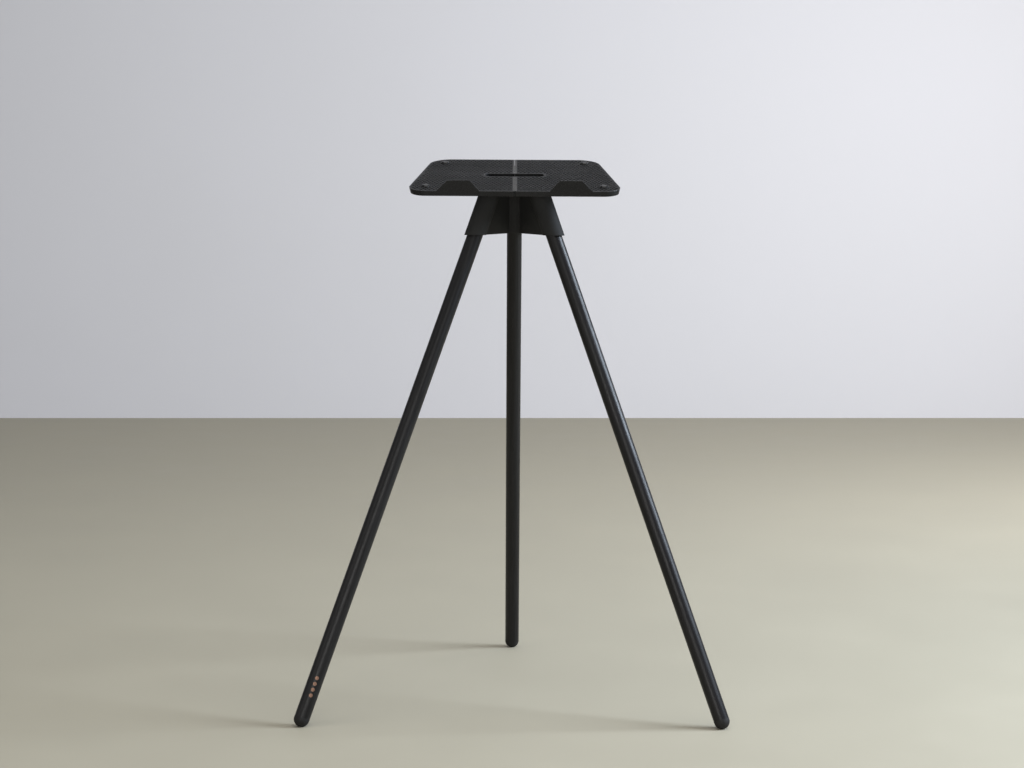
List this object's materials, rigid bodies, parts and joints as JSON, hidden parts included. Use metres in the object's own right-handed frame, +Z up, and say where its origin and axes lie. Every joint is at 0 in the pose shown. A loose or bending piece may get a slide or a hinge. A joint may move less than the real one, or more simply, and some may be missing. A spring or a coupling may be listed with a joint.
{
  "type": "tripod laptop stand",
  "caption": "Standing-height tripod laptop stand with a sloped, folding perforated tray on a socketed hub and push-in round wooden legs.",
  "frame": {"origin": "on the floor, at the centre of the overall bounding box", "axes": "+Z up, +X to the user's right, -Y towards the user; the tray slopes down towards -Y and the rear leg points to +Y"},
  "size_m": [0.832, 0.7244, 1.0786],
  "materials": {
    "cast_black": "cast aluminium under a fine matt black powder coat",
    "platform_black": "matt black moulded plastic",
    "screw_steel": "zinc-plated screws",
    "magnet_nickel": "nickel-plated magnets",
    "frame_black": "cast aluminium under a fine matt black powder coat",
    "sheet_black": "textured black powder coat on perforated steel",
    "pad_rubber": "soft black silicone",
    "hinge_steel": "dark burnished steel",
    "leg_wood": "black stained beech with a satin lacquer",
    "foot_rubber": "firm black rubber",
    "strike_steel": "zinc-plated steel"
  },
  "bodies": {
    "hub": {"hub": "cast_black", "platform": "platform_black", "platform_screws": "screw_steel", "tray_magnets": "magnet_nickel", "socket_magnets": "magnet_nickel", "socket_magnet_screws": "screw_steel"},
    "tray_left": {"tray_frame_left": "frame_black", "tray_sheet_left": "sheet_black", "pad_front_left": "pad_rubber", "pad_back_left": "pad_rubber", "hinge_leaf_front_left": "hinge_steel", "hinge_leaf_back_left": "hinge_steel", "hinge_rivets_left": "hinge_steel", "hinge_pin_front": "hinge_steel", "hinge_pin_back": "hinge_steel"},
    "tray_right": {"tray_frame_right": "frame_black", "tray_sheet_right": "sheet_black", "pad_front_right": "pad_rubber", "pad_back_right": "pad_rubber", "hinge_leaf_front_right": "hinge_steel", "hinge_leaf_back_right": "hinge_steel", "hinge_rivets_right": "hinge_steel"},
    "leg_left": {"leg_left": "leg_wood", "foot_left": "foot_rubber", "strike_plate_left": "strike_steel", "strike_screw_left": "screw_steel"},
    "leg_right": {"leg_right": "leg_wood", "foot_right": "foot_rubber", "strike_plate_right": "strike_steel", "strike_screw_right": "screw_steel"},
    "leg_rear": {"leg_rear": "leg_wood", "foot_rear": "foot_rubber", "strike_plate_rear": "strike_steel", "strike_screw_rear": "screw_steel"}
  },
  "joints": [
    {"name": "tray_lift", "type": "slide", "parent": "hub", "child": "tray_left", "axis": [0, -0.2334, 0.9724], "range_m": [0, 0.6]},
    {"name": "tray_fold", "type": "hinge", "parent": "tray_left", "child": "tray_right", "pos_m": [0, -0.11332, 1.03839], "axis": [0, 0.9724, 0.2334], "range_deg": [0, 180]},
    {"name": "leg_left_pull", "type": "slide", "parent": "hub", "child": "leg_left", "axis": [-0.3272, -0.1889, -0.9259], "range_m": [0, 0.1]},
    {"name": "leg_right_pull", "type": "slide", "parent": "hub", "child": "leg_right", "axis": [0.3272, -0.1889, -0.9259], "range_m": [0, 0.1]},
    {"name": "leg_rear_pull", "type": "slide", "parent": "hub", "child": "leg_rear", "axis": [0, 0.3778, -0.9259], "range_m": [0, 0.1]}
  ],
  "couplings": [
    {"joint": "tray_fold", "follows": "tray_lift", "rad_per_m": 5.2359}
  ]
}
